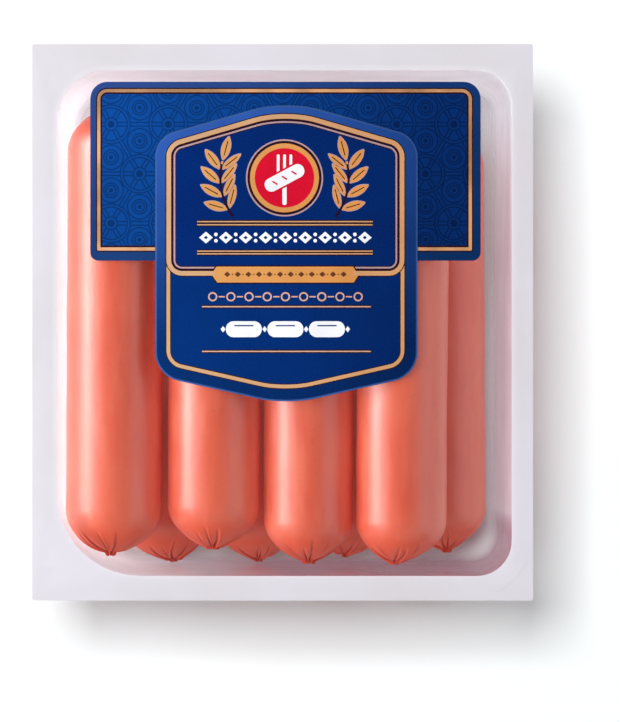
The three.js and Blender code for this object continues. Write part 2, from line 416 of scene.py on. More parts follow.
def buildFrankfurter(name, settings, material):
    look = {**frankfurterLook, **settings}
    low, high = boxInMm(name)
    radius = (high.z - low.z) / 2
    lean = math.radians(look["lean"])
    length = (high.y - low.y) / math.cos(lean)
    draw = random.Random(look["seed"])
    lowerCreases = drawCreases(draw)
    upperCreases = drawCreases(draw)
    phase = draw.uniform(0, 6.28)          # about a full turn

    ending = endOutline(radius, look)
    bodyStart = ending[-1][1]
    bodyLength = length - 2 * bodyStart
    bodySteps = round(bodyLength / look["bodyStep"])
    outline = list(ending)
    outline += [(radius, bodyStart + bodyLength * step / bodySteps) for step in range(1, bodySteps)]
    outline += [(across, length - along) for across, along in reversed(ending)]

    mesh = bmesh.new()
    creaseShadeLayer = mesh.verts.layers.float.new("crease")
    endLayer = mesh.verts.layers.float.new("ends")
    points = [mesh.verts.new((across, along, 0)) for across, along in outline]
    edges = [mesh.edges.new(pair) for pair in zip(points, points[1:])]
    bmesh.ops.spin(mesh, geom=points + edges, cent=(0, 0, 0), axis=(0, 1, 0), dvec=(0, 0, 0),
                   angle=2 * math.pi, steps=look["steps"], use_merge=True, use_duplicate=False)
    bmesh.ops.remove_doubles(mesh, verts=mesh.verts, dist=weldGap)
    bmesh.ops.recalc_face_normals(mesh, faces=mesh.faces)
    mesh.normal_update()

    nibWidth = look["nibWidth"]
    darkness, darker = nibShape["darkness"]
    lipCount, lipHeight = nibShape["lipWaves"]
    changed = {}
    for vert in mesh.verts:
        x, y, z = vert.co
        across = math.hypot(x, z)
        angle = math.atan2(z, x)
        lower = y < length / 2
        fromTip = y if lower else length - y
        place = vert.co.copy()
        bottom = 0.0
        if fromTip < bodyStart:
            creases = lowerCreases if lower else upperCreases
            depth, bottom = creaseAt(creases, across, fromTip, angle, nibWidth)
            place -= vert.normal * min(depth, look["deepest"])
            out = across / nibWidth
            nib = 1 - smoothStep(*nibShape["edge"], out)
            lumps = sum(rise * math.sin(count * angle + turn * phase)
                        for count, rise, turn in nibShape["lumps"])
            place += Vector((x, 0, z)) * lumps * nib
            lip = (lumps + lipHeight * math.sin(lipCount * angle)) * nib * out
            place.y += nibShape["lip"] * lip * (1 if lower else -1)
            bottom = max(bottom, nib * (darkness + darker * (1 - smoothStep(*nibShape["darkFrom"], out))))
        pull = max(1 - across / radius, 0.0) ** look["nibPull"] * (1 if lower else look["upperShare"])
        place += Vector((look["nibX"], 0, look["nibZ"])) * pull
        spot = Vector((x, y, z)) * look["unevenScale"] + Vector((look["seed"], 0, 0))
        uneven = look["unevenness"] * noise.noise(spot) * smoothStep(*look["unevenFrom"], across)
        place += vert.normal * uneven
        changed[vert] = place
        # painted shade: the fold bottoms and the knot's middle are coloured darker through this layer
        vert[creaseShadeLayer] = bottom
        vert[endLayer] = 1 - smoothStep(look["endsFrom"], bodyStart, fromTip)
    for vert, place in changed.items():
        vert.co = place

    middle = (low + high) / 2
    bmesh.ops.translate(mesh, vec=(0, -length / 2, 0), verts=mesh.verts)
    bmesh.ops.rotate(mesh, cent=(0, 0, 0), matrix=Matrix.Rotation(lean, 3, "Z"), verts=mesh.verts)
    bmesh.ops.translate(mesh, vec=middle, verts=mesh.verts)
    pieceName = name.replace("frankfurter", "sausage")
    finishPiece(pieceName, mesh, [material], [name], sharpAngle=180)


meatLook = {
    "colours": ((229, 101, 68), (223, 90, 60)),
    "streaks": (238, 118, 88),
    "specks": (176, 62, 44),
    "ends": (208, 70, 42),
    # painted shade in the crease valleys and in the knot
    "creases": (136, 32, 22),
    "shares": {"streaks": 0.35, "specks": 0.22, "ends": 0.85, "creases": 0.8},
    "scales": {"broad": 45, "streaks": 420, "grain": 1500, "specks": 950},
    "spans": {"streaks": (0.35, 0.75), "specks": (0.66, 0.74), "creases": (0.05, 0.8)},
    "streakStretch": (1.0, 0.22, 1.0),
    "roughness": (0.4, 0.48),
    "specular": (1.0, 0.25),               # along the sausage and on its ends
    "coat": (0.4, 0.05),                   # as well
    "endGloss": (0.0, 0.6),                # the part of the way into the end where the gloss goes
    "streakHeight": 2.0,
    "bump": (0.12, 0.0002),
}


def meatMaterial():
    look, shares, scales, spans = meatLook, meatLook["shares"], meatLook["scales"], meatLook["spans"]
    material, tree = newTree("smoked_meat")
    point = objectPoint(tree)
    broad = addNoise(tree, point, scales["broad"])
    streaks = addNoise(tree, stretchPoint(tree, point, look["streakStretch"]), scales["streaks"], detail=3.0)
    grain = addNoise(tree, point, scales["grain"])
    specks = addNoise(tree, point, scales["specks"], detail=1.0)
    ends = addNode(tree, "ShaderNodeAttribute", attribute_name="ends").outputs["Fac"]
    # painted shade from the crease layer
    creases = addNode(tree, "ShaderNodeAttribute", attribute_name="crease").outputs["Fac"]
    colours = [displayColour(*tint) for tint in look["colours"]]
    colour = addMix(tree, addRange(tree, broad, *noiseSpan), *colours)
    for name, share in (
        ("streaks", addRange(tree, streaks, *spans["streaks"], 0.0, shares["streaks"])),
        ("specks", addRange(tree, specks, *spans["specks"], 0.0, shares["specks"])),
        ("ends", addMath(tree, "MULTIPLY", ends, shares["ends"])),
        ("creases", addRange(tree, creases, *spans["creases"], 0.0, shares["creases"])),
    ):
        colour = addMix(tree, share, colour, displayColour(*look[name]))
    height = addMath(tree, "ADD", grain, addMath(tree, "MULTIPLY", streaks, look["streakHeight"]))
    shader = addNode(tree, "ShaderNodeBsdfPrincipled", {
        "Base Color": colour,
        "Roughness": addRange(tree, streaks, *noiseSpan, *look["roughness"]),
        "Specular IOR Level": addRange(tree, ends, *look["endGloss"], *look["specular"]),
        "Subsurface Weight": 0.08,
        "Subsurface Radius": (1.0, 0.3, 0.2),
        "Subsurface Scale": 0.0015,
        "Coat Weight": addRange(tree, ends, *look["endGloss"], *look["coat"]),
        "Coat Roughness": 0.34,
        "Normal": addBump(tree, height, *look["bump"]),
    })
    closeTree(tree, shader.outputs[0])
    return material


meat = meatMaterial()
for sausageName, sausageSettings in frankfurters.items():
    buildFrankfurter(sausageName, sausageSettings, meat)
print("frankfurters made")


# Tray: thin clear plastic, formed into a deep pocket under a flat flange

tray = {
    "sheet": 0.35,
    "lip": 1.0,
    "draft": 3.0,            # degrees
    "floorFillet": 8.0,
    "leastRadius": 2.0,
    "pocketWidth": 122.6,
    "pocketLength": 136.4,
    "pocketX": 0.5,
    "pocketY": -0.2,
    "cornerRadii": (9.5, 13.5, 22.5, 9.5),      # right top, left top, left bottom, right bottom
    "flangeRadius": 0.6,
    "cornerSteps": 10,
    "wallSteps": 9,
    "filletSteps": 7,
    "lipSteps": 4,
    "floorGap": 0.4,
    "seal": 0.4,             # the seal ends this far outside the pocket
    "sharpAngle": 60,
}


def pocketOutline(inset):
    halfWidth = tray["pocketWidth"] / 2 - inset
    halfLength = tray["pocketLength"] / 2 - inset
    radii = [max(radius - inset, tray["leastRadius"]) for radius in tray["cornerRadii"]]
    return rectangle(tray["pocketX"] - halfWidth, tray["pocketX"] + halfWidth,
                     tray["pocketY"] - halfLength, tray["pocketY"] + halfLength, radii)


def flangeOutline():
    low, high = boxInMm("tray")
    return rectangle(low.x, high.x, low.y, high.y, (tray["flangeRadius"],) * 4)


def buildTray(materials):
    top = boxInMm("tray")[1].z
    slope = math.tan(math.radians(tray["draft"]))
    fillet = tray["floorFillet"]
    tangentZ = tray["floorGap"] + fillet
    rings = []
    for step in range(tray["lipSteps"]):
        angle = step / tray["lipSteps"] * math.pi / 2
        rings.append((-tray["lip"] * (1 - math.sin(angle)), top - tray["lip"] * (1 - math.cos(angle))))
    for step in range(tray["wallSteps"]):
        z = top - tray["lip"] - (top - tray["lip"] - tangentZ) * step / tray["wallSteps"]
        rings.append(((top - z) * slope, z))
    deepest = (top - tangentZ) * slope + fillet
    for step in range(tray["filletSteps"] + 1):
        angle = step / tray["filletSteps"] * math.pi / 2
        rings.append((deepest - fillet * math.cos(angle), tangentZ - fillet * math.sin(angle)))

    mesh = bmesh.new()
    segments = tray["cornerSteps"]
    outer = loopOf(mesh, flangeOutline(), top, segments)
    for index, (inset, z) in enumerate(rings[:-1]):
        inner = loopOf(mesh, pocketOutline(inset), z, segments)
        joinLoops(mesh, outer, inner, 0 if index else 1)
        outer = inner
    floor = roundedFace(mesh, pocketOutline(rings[-1][0]), rings[-1][1], segments)
    joinLoops(mesh, outer, list(floor.verts), 0)
    mesh.normal_update()
    bmesh.ops.recalc_face_normals(mesh, faces=mesh.faces)
    if sum(face.normal.z * face.calc_area() for face in mesh.faces) < 0:
        bmesh.ops.reverse_faces(mesh, faces=mesh.faces)
    piece = finishPiece("tray_shell", mesh, materials, ["tray"], tray["sharpAngle"])
    wall = piece.modifiers.new("wall", "SOLIDIFY")
    wall.thickness = tray["sheet"] * mm
    wall.offset = -1
    return piece


paintedReflectionAndShade = {             # painted reflection and shade: mm, from where the plastic starts to be painted with the meat's pink and a darker tone to where it is full
    "across": (-50, 7),
    "down": (67, 18),
    "right": (44, 58),       # weaker again in the right wall, but not low in its corner
    "corner": (-45, -58),
    "least": 0.5,            # this part of it is left there
}
plasticLook = {
    "cloudScale": 45,
    "cloud": (0.9, 1.1),
    "milkFrom": (0.1, 0.8),  # it grows from straight on, near 0, towards grazing, near 1
    "milkLeast": 0.2,        # this part of it is left when looked through straight on
    "milkRoughness": 0.4,
    "glossPower": 5.0,       # how late the gloss grows towards grazing
}
plastics = {                 # gloss is when looked at straight on; the second of the milk's colours and strengths is painted reflection and shade: the meat's pink and a darker, thinner milk where the mask is full
                             # strengths is for where the wall picks up the meat's colour
    "clear_tray": {"tint": (246, 240, 245), "gloss": 0.04, "roughness": 0.14,
                   "milk": ((246, 248, 254), (190, 150, 166)), "haze": (0.74, 0.42)},
    # the film's faint bluish milk is painted reflection, the veil that its surface gives back
    "clear_film": {"tint": (250, 250, 252), "gloss": 0.02, "roughness": 0.05,
                   "milk": ((150, 150, 235), (150, 150, 235)), "haze": (0.012, 0.012)},
}
sealLook = {
    "paler": (232, 229, 237),
    "cloudScale": 28,
    "fineScale": 700,
    "fineShare": 0.15,
    "roughness": 0.28,
    "coverSpread": 0.04,
    "bump": (0.2, 0.0006),
}
seals = {
    "sealed_flange": {"tint": (231, 228, 232), "cover": 0.7},
    "sealed_film": {"tint": (231, 228, 232), "cover": 0.75},
}


# painted reflection and shade on the tray: a mask that grows to the right and downwards, weaker again in the
# right wall but not in its lower corner
def reflectionAndShadeMask(tree, point):
    parts = addNode(tree, "ShaderNodeSeparateXYZ", {0: point})
    names = ("across", "down", "right", "corner")
    ranges = {name: [edge * mm for edge in paintedReflectionAndShade[name]] for name in names}
    across = addRange(tree, parts.outputs[0], *ranges["across"])
    down = addRange(tree, parts.outputs[1], *ranges["down"], smooth=False)
    right = addRange(tree, parts.outputs[0], *ranges["right"], 1.0, paintedReflectionAndShade["least"])
    corner = addRange(tree, parts.outputs[1], *ranges["corner"])
    reflectionAndShade = addMath(tree, "MULTIPLY", across, down)
    return addMath(tree, "MULTIPLY", reflectionAndShade, addMath(tree, "MAXIMUM", right, corner))


def clearPlastic(name):
    # see-through, with gloss and milkiness that both grow towards grazing angles, as the way through
    # gets longer
    look = {**plasticLook, **plastics[name]}
    material, tree = newTree(name)
    point = objectPoint(tree)
    reflectionAndShade = reflectionAndShadeMask(tree, point)
    # painted reflection and shade: the milk turns from pale to the meat's darker pink as the mask grows
    milkTint = addMix(tree, reflectionAndShade, *[displayColour(*colour) for colour in look["milk"]])
    cloud = addNoise(tree, point, look["cloudScale"], detail=1.0)
    cloud = addRange(tree, cloud, *noiseSpan, *look["cloud"])
    facing = addNode(tree, "ShaderNodeLayerWeight", {"Blend": 0.5}).outputs["Facing"]
    late = addMath(tree, "POWER", facing, look["glossPower"])
    gloss = addMath(tree, "MULTIPLY_ADD", late, 1 - look["gloss"])
    setInput(tree, gloss.node.inputs[2], look["gloss"])
    shine = addNode(tree, "ShaderNodeBsdfPrincipled", {
        "Base Color": displayColour(*look["tint"]),
        "Metallic": 1.0,
        "Roughness": look["roughness"],
        "Alpha": gloss,
    })
    milkInputs = {"Base Color": milkTint, "Roughness": look["milkRoughness"]}
    front = addNode(tree, "ShaderNodeBsdfPrincipled", milkInputs)
    through = addNode(tree, "ShaderNodeBsdfTranslucent", {"Color": milkTint})
    both = addNode(tree, "ShaderNodeMixShader", {0: 0.5, 1: front.outputs[0], 2: through.outputs[0]})
    haze = addMath(tree, "MULTIPLY", cloud, addRange(tree, reflectionAndShade, 0, 1, *look["haze"], smooth=False))
    grazing = addRange(tree, facing, *look["milkFrom"], look["milkLeast"], 1.0)
    share = addMath(tree, "MULTIPLY", haze, grazing)
    shader = addNode(tree, "ShaderNodeMixShader", {0: share, 1: shine.outputs[0], 2: both.outputs[0]})
    closeTree(tree, shader.outputs[0])
    return material


def sealedPlastic(name):
    # film and flange sealed together: pale and nearly opaque, faintly uneven
    look = {**sealLook, **seals[name]}
    cover, spread = look["cover"], look["coverSpread"]
    material, tree = newTree(name)
    point = objectPoint(tree)
    cloud = addNoise(tree, point, look["cloudScale"], detail=3.0)
    fine = addNoise(tree, point, look["fineScale"])
    height = addMath(tree, "ADD", cloud, addMath(tree, "MULTIPLY", fine, look["fineShare"]))
    tints = [displayColour(*look[shade]) for shade in ("tint", "paler")]
    shader = addNode(tree, "ShaderNodeBsdfPrincipled", {
        "Base Color": addMix(tree, addRange(tree, cloud, *noiseSpan), *tints),
        "Roughness": look["roughness"],
        "Alpha": addRange(tree, cloud, *noiseSpan, cover - spread, cover + spread),
        "Normal": addBump(tree, height, *look["bump"]),
    })
    closeTree(tree, shader.outputs[0])
    return material


trayShell = buildTray([clearPlastic("clear_tray"), sealedPlastic("sealed_flange")])
print("tray made")


# Lid film, taut over the pocket, with a faint ripple that the labels follow

film = {
    "ripple": 0.07,
    "rippleScale": 0.03,
    "rippleSeed": 3.0,
    "rippleStretch": 0.7,
    "grid": 6.0,             # the film and labels are cut this fine to follow it
    "calmEdge": 12.0,        # the ripple dies out this close to the sealed edge
    "reach": 80,
}


def sheetLift(x, y):
    # how far the film rises above flat at this place
    halfWidth = tray["pocketWidth"] / 2
    halfLength = tray["pocketLength"] / 2
    inside = min(halfWidth - abs(x - tray["pocketX"]), halfLength - abs(y - tray["pocketY"]))
    wave = noise.noise(Vector((x, y * film["rippleStretch"], film["rippleSeed"])) * film["rippleScale"])
    return film["ripple"] * wave * smoothStep(0, film["calmEdge"], inside)


def layOnFilm(mesh):
    for vert in mesh.verts:
        vert.co.z += sheetLift(vert.co.x, vert.co.y)


def buildFilm(materials):
    low, high = boxInMm("lid_film")
    mesh = bmesh.new()
    segments = tray["cornerSteps"]
    outlines = [flangeOutline(), pocketOutline(-tray["seal"]), pocketOutline(0.0)]
    nestedBands(mesh, outlines, high.z, segments, [1, 0])
    cutEvery(mesh, film["grid"], film["reach"])
    faceUp(mesh)
    layOnFilm(mesh)
    thicken(mesh, high.z - low.z)
    finishPiece("film_lid", mesh, materials, ["lid_film"])


filmRim = sealedPlastic("sealed_film")
buildFilm([clearPlastic("clear_film"), filmRim])


# Where the film is peeled: a low curved ridge pressed into the sealed corner

peelRidge = {
    "x": 48.8,               # the middle of its bend, as the pocket's corner
    "y": -55.4,
    "radius": 19.1,
    "width": 0.5,
    "height": 0.03,
    "flat": 0.5,             # this part of its width is flat on top
    "start": -25.5,          # degrees
    "end": -62.5,
    "steps": 24,
}


def buildPeelRidge():
    top = boxInMm("lid_film")[1].z
    x, y, radius = peelRidge["x"], peelRidge["y"], peelRidge["radius"]
    half, height, flat = peelRidge["width"] / 2, peelRidge["height"], peelRidge["flat"]
    start = math.radians(peelRidge["start"])
    section = [(-half, 0.0), (-half * flat, height), (half * flat, height), (half, 0.0)]
    mesh = bmesh.new()
    points = []
    for out, up in section:
        away = radius + out
        points.append(mesh.verts.new((x + away * math.cos(start), y + away * math.sin(start), top + up)))
    bmesh.ops.spin(mesh, geom=[mesh.faces.new(points)], cent=(x, y, 0), axis=(0, 0, 1), dvec=(0, 0, 0),
                   angle=math.radians(peelRidge["end"]) - start, steps=peelRidge["steps"])
    bmesh.ops.recalc_face_normals(mesh, faces=mesh.faces)
    finishPiece("peel_ridge", mesh, [filmRim], ["lid_film"])


buildPeelRidge()
print("film made")


# Paper labels

labelInks = {                # painted shade: colours on the left and the darker ones on the right, away from the light
    "border": {"left": (52, 98, 187), "right": (27, 65, 132), "fade": (58, -6, (0.03, 0.25, 0.33))},
    # painted highlight: the pale rim where the shield's cut paper edge catches the light
    "edge": {"left": (62, 98, 160), "right": (46, 76, 134)},
    "panelBorder": {"left": (44, 75, 142), "right": (16, 52, 108), "fade": (64, 20, (0.4, 0.66, 0.66))},
    "navy": {"left": (0, 41, 114), "right": (0, 34, 93)},
    "lower": {"left": (0, 50, 122), "right": (0, 33, 92)},
    "gold": {"left": (212, 170, 130), "right": (204, 148, 100)},
    # the panel gold's strong cloud is partly painted reflection, the uneven shine of foil, in random patches
    "panelGold": {"left": (226, 172, 128), "right": (206, 150, 104), "cloud": 0.5},
    "brightGold": {"left": (222, 163, 96), "right": (210, 136, 70)},
    "blush": {"left": (226, 178, 156), "right": (208, 158, 134)},
    "dark": {"left": (44, 14, 32), "right": (36, 12, 28)},
    "brown": {"left": (108, 64, 40), "right": (96, 52, 32)},
    "pale": {"left": (190, 158, 162), "right": (170, 140, 148)},
    "white": {"left": (248, 249, 252), "right": (236, 240, 246)},
    "red": {"left": (220, 18, 50), "right": (204, 14, 44)},
    "lattice": {"left": (10, 74, 156), "right": (2, 42, 104), "fade": (56, 22, (0.8, 0.8, 0.8)),
                "lattice": True},
}
inkLook = {
    "reach": 40,             # mm from the middle to where the left and right colours are full
    "cloud": 0.1,
    "cloudScale": 70,
    "cloudSpan": (0.35, 0.65),
    "fibreScale": 2600,
    "gloss": 0.14,
    "roughness": (0.26, 0.35),
    "bump": (0.05, 0.0001),
}
lattice = {
    "repeat": 15.4,          # mm between the middles of neighbouring rosettes
    "dot": 0.9,
    "rings": (1.7, 4.4, 5.2),
    "spokeGap": 0.5,         # from a spoke's middle line to each of its two rails
    "smallDot": 0.5,
    "smallRings": (1.3, 1.95, 3.3),
    "halfLine": 0.15,
    "lineEdge": (0.6, 1.5),  # half lines from a line's middle, where it starts and ends to fade
    "dotEdge": 0.1,
    "strength": 0.5,
}


def lineAt(tree, value, place):
    # 1 on the line where value is place, falling to 0 at its edges
    start, end = [edge * lattice["halfLine"] for edge in lattice["lineEdge"]]
    off = addMath(tree, "ABSOLUTE", addMath(tree, "SUBTRACT", value, place))
    return addRange(tree, off, start, end, 1.0, 0.0)


def dotAt(tree, far, radius):
    return addRange(tree, far, radius, radius + lattice["dotEdge"], 1.0, 0.0)


def farFrom(tree, across, up, middleAcross=0.0, middleUp=0.0):
    across = addMath(tree, "SUBTRACT", across, middleAcross)
    up = addMath(tree, "SUBTRACT", up, middleUp)
    squares = [addMath(tree, "MULTIPLY", value, value) for value in (across, up)]
    return addMath(tree, "SQRT", addMath(tree, "ADD", *squares))


def latticeLines(tree, x, y):
    # rosettes on a triangular lattice, joined by double rails, with small rings in the triangles between
    side = lattice["repeat"]
    rise = side * math.sqrt(3) / 2
    sets = []
    for shift in (0.0, 0.5):     # two sets of rows, each folded about its rosettes' middles
        across = addMath(tree, "PINGPONG", addMath(tree, "ADD", x, shift * side), side / 2)
        up = addMath(tree, "PINGPONG", addMath(tree, "ADD", y, shift * 2 * rise), rise)
        sets.append((across, up, farFrom(tree, across, up)))
    nearer = addMath(tree, "LESS_THAN", sets[0][2], sets[1][2])
    far = addMath(tree, "MINIMUM", sets[0][2], sets[1][2])
    place = []
    for first, second in zip(sets[0][:2], sets[1][:2]):
        change = addMath(tree, "MULTIPLY", nearer, addMath(tree, "SUBTRACT", first, second))
        place.append(addMath(tree, "ADD", second, change))
    across, up = place

    slanted = addMath(tree, "SUBTRACT", addMath(tree, "MULTIPLY", across, math.sqrt(3) / 2),
                      addMath(tree, "MULTIPLY", up, 0.5))
    besideSpoke = addMath(tree, "MINIMUM", up, addMath(tree, "ABSOLUTE", slanted))
    outside = addMath(tree, "GREATER_THAN", far, lattice["rings"][2])
    between = addMath(tree, "MULTIPLY", addMath(tree, "GREATER_THAN", far, lattice["rings"][0]),
                      addMath(tree, "LESS_THAN", far, lattice["rings"][1]))
    rails = addMath(tree, "MULTIPLY", lineAt(tree, besideSpoke, lattice["spokeGap"]),
                    addMath(tree, "MAXIMUM", outside, between))
    middle = side / math.sqrt(3)
    farSmall = addMath(tree, "MINIMUM", farFrom(tree, across, up, side / 2, middle / 2),
                       farFrom(tree, across, up, 0.0, middle))
    lines = rails
    marks = [dotAt(tree, far, lattice["dot"]), dotAt(tree, farSmall, lattice["smallDot"])]
    marks += [lineAt(tree, far, radius) for radius in lattice["rings"]]
    marks += [lineAt(tree, farSmall, radius) for radius in lattice["smallRings"]]
    for mark in marks:
        lines = addMath(tree, "MAXIMUM", lines, mark)
    return lines


def printedPaper(name, settings):
    # ink on smooth paper: darker away from the light, slightly cloudy, with fine fibres and a soft gloss
    look = {**inkLook, **settings}
    material, tree = newTree(name + "_ink")
    point = objectPoint(tree)
    parts = addNode(tree, "ShaderNodeSeparateXYZ", {0: point})
    x = addMath(tree, "MULTIPLY", parts.outputs[0], 1 / mm)
    y = addMath(tree, "MULTIPLY", parts.outputs[1], 1 / mm)
    # painted shade across the label: the ink goes from its left colour to its darker right one
    away = addRange(tree, x, -look["reach"], look["reach"], smooth=False)
    colour = addMix(tree, away, displayColour(*look["left"]), displayColour(*look["right"]))
    cloud = addNoise(tree, point, look["cloudScale"], detail=3.0)
    shade = addRange(tree, cloud, *look["cloudSpan"], 1 - look["cloud"], 1.0)
    if "fade" in look:           # painted shade: from full colour above to a part of each channel below
        high, low, tint = look["fade"]
        fade = addMix(tree, addRange(tree, y, high, low, smooth=False), (1, 1, 1, 1), (*tint, 1))
        colour = addMix(tree, 1.0, colour, fade, "MULTIPLY")
    if "lattice" in look:
        lines = addMath(tree, "MULTIPLY", latticeLines(tree, x, y), -lattice["strength"])
        shade = addMath(tree, "MULTIPLY", shade, addMath(tree, "ADD", lines, 1.0))
    colour = addMix(tree, shade, (0, 0, 0, 1), colour)
    fibre = addNoise(tree, point, look["fibreScale"])
    shader = addNode(tree, "ShaderNodeBsdfPrincipled", {
        "Base Color": colour,
        "Specular IOR Level": look["gloss"],
        "Roughness": addRange(tree, fibre, *noiseSpan, *look["roughness"]),
        "Normal": addBump(tree, fibre, *look["bump"]),
    })
    closeTree(tree, shader.outputs[0])
    return material


inks = {name: printedPaper(name, settings) for name, settings in labelInks.items()}

panel = {
    "outline": (4.6, 4.6, 2.2, 2.2),       # corner radii, as the pocket's
    "goldLeft": -49.95,
    "goldRight": 51.04,
    "goldTop": 62.85,
    "goldBottom": 19.31,
    "goldWidth": 0.88,
    "goldRadii": (2.7, 2.7, 0.3, 0.3),
    "outerLine": 0.34,
    "innerLine": 0.46,
    "steps": 8,
}

sheetStack = {
    "paper": 0.15,
    "inkStep": 0.02,         # each printed layer lies this much higher
    "overlapRamp": 1.6,      # the upper label comes down off the lower one's edge over this length
    "rampSteps": 5,
}


def buildPanel():
    low, high = boxInMm("label_panel")
    outline = rectangle(low.x, high.x, low.y, high.y, panel["outline"])
    gold = rectangle(panel["goldLeft"], panel["goldRight"], panel["goldBottom"], panel["goldTop"],
                     panel["goldRadii"])
    outlines = [outline, insetCorners(gold, -panel["outerLine"]), gold]
    outlines.append(insetCorners(gold, panel["goldWidth"]))
    outlines.append(insetCorners(gold, panel["goldWidth"] + panel["innerLine"]))
    mesh = bmesh.new()
    nestedBands(mesh, outlines, high.z, panel["steps"], [0, 1, 2, 1, 3])
    cutEvery(mesh, film["grid"], film["reach"])
    faceUp(mesh)
    layOnFilm(mesh)
    names = ("panelBorder", "dark", "panelGold", "lattice", "white")
    thicken(mesh, sheetStack["paper"], names.index("white"))
    finishPiece("wide_label", mesh, [inks[name] for name in names], ["label_panel"])


buildPanel()
print("wide label made")

shield = {
    "centreX": 1.05,
    "halfWidth": 35.35,
    "topPeak": 59.9,
    "topShoulder": 49.9,
    "bottomShoulder": -14.4,
    "bottomPoint": -22.3,
    "radii": (32, 6.7, 7.7, 34),           # peak, upper shoulders, lower shoulders, point
    "edge": 0.45,            # the cut paper catches the light this far in
    "steps": 10,
}
shieldFrame = {              # the gold frame printed inside the rim
    "centreX": 0.78,
    "halfWidth": 32.05,
    "topPeak": 57.5,
    "topShoulder": 48.2,
    "bottomShoulder": -11.5,
    "bottomPoint": -18.7,
    "radii": (29.6, 4.6, 4.7, 31),
    "outerLine": 0.25,
    "leastRadius": 0.4,
    "upperBottom": 12.55,
    "upperRadius": 4.2,
    "hidden": 1,             # the lower frame's top is this far above the upper one's bottom corners
    "upperBands": (1.26, 0.66, 0.46, 0.26),    # gold, dark, pale, dark, inwards from the frame's edge
    "lowerBands": (1.0, 0.26),                 # gold, dark
}


def shieldCorners(settings):
    x, half = settings["centreX"], settings["halfWidth"]
    peak, upper, lower, point = settings["radii"]
    return [
        (x, settings["topPeak"], peak),
        (x - half, settings["topShoulder"], upper),
        (x - half, settings["bottomShoulder"], lower),
        (x, settings["bottomPoint"], point),
        (x + half, settings["bottomShoulder"], lower),
        (x + half, settings["topShoulder"], upper),
    ]


def upperCorners():
    # the upper frame's outline, which closes across the shield
    x, half = shieldFrame["centreX"], shieldFrame["halfWidth"]
    peak, upper = shieldFrame["radii"][:2]
    return [
        (x, shieldFrame["topPeak"], peak),
        (x - half, shieldFrame["topShoulder"], upper),
        (x - half, shieldFrame["upperBottom"], shieldFrame["upperRadius"]),
        (x + half, shieldFrame["upperBottom"], shieldFrame["upperRadius"]),
        (x + half, shieldFrame["topShoulder"], upper),
    ]


def lowerCorners():
    # the lower frame's outline, which runs up under the upper one
    x, half = shieldFrame["centreX"], shieldFrame["halfWidth"]
    lower, point = shieldFrame["radii"][2:]
    top = shieldFrame["upperBottom"] + shieldFrame["upperRadius"] + shieldFrame["hidden"]
    return [
        (x + half, top, shieldFrame["leastRadius"]),
        (x - half, top, shieldFrame["leastRadius"]),
        (x - half, shieldFrame["bottomShoulder"], lower),
        (x, shieldFrame["bottomPoint"], point),
        (x + half, shieldFrame["bottomShoulder"], lower),
    ]


def layOnLabels(mesh):
    # over the wide label this lies one sheet higher than beside it
    panelEdge = boxInMm("label_panel")[0].y
    for vert in mesh.verts:
        down = smoothStep(0, sheetStack["overlapRamp"], panelEdge - vert.co.y)
        vert.co.z -= sheetStack["paper"] * down
    layOnFilm(mesh)


def cutRamp(mesh):
    edge = boxInMm("label_panel")[0].y
    for step in range(sheetStack["rampSteps"] + 1):
        down = sheetStack["overlapRamp"] * step / sheetStack["rampSteps"]
        cutAcross(mesh, (0, edge - down, 0), (0, 1, 0))


def finishPrint(name, mesh, layer, inkNames):
    # printed shapes drawn flat at height 0, laid on the shield in the given layer, white underneath
    cutEvery(mesh, film["grid"], film["reach"])
    cutRamp(mesh)
    faceUp(mesh)
    top = boxInMm("label_shield")[1].z + layer * sheetStack["inkStep"]
    bmesh.ops.translate(mesh, vec=(0, 0, top), verts=mesh.verts)
    layOnLabels(mesh)
    thicken(mesh, sheetStack["inkStep"] if layer else sheetStack["paper"], len(inkNames))
    materials = [inks[ink] for ink in (*inkNames, "white")]
    finishPiece(name, mesh, materials, ["label_shield"])


def buildShield():
    corners = shieldCorners(shield)
    mesh = bmesh.new()
    # the outer band in edge ink is a painted highlight on the cut edge
    nestedBands(mesh, [corners, insetCorners(corners, shield["edge"])], 0, shield["steps"], [0, 1])
    finishPrint("shield_label", mesh, 0, ("edge", "border"))


def buildFrame(name, corners, bands, layer, inkNames):
    # a dark line round the outline, then bands of the given widths inside it, and the field within them
    outlines = [insetCorners(corners, -shieldFrame["outerLine"])]
    for count in range(len(bands) + 1):
        outlines.append(insetCorners(corners, sum(bands[:count]), shieldFrame["leastRadius"]))
    mesh = bmesh.new()
    nestedBands(mesh, outlines, 0, shield["steps"], list(range(len(inkNames))))
    finishPrint(name, mesh, layer, inkNames)


buildShield()
buildFrame("lower_field", lowerCorners(), shieldFrame["lowerBands"], 1,
           ("dark", "gold", "dark", "lower"))
buildFrame("upper_field", upperCorners(), shieldFrame["upperBands"], 2,
           ("dark", "gold", "dark", "pale", "dark", "navy"))
print("shield label made")


# Printed ornament on the shield, all of it plain and traditional

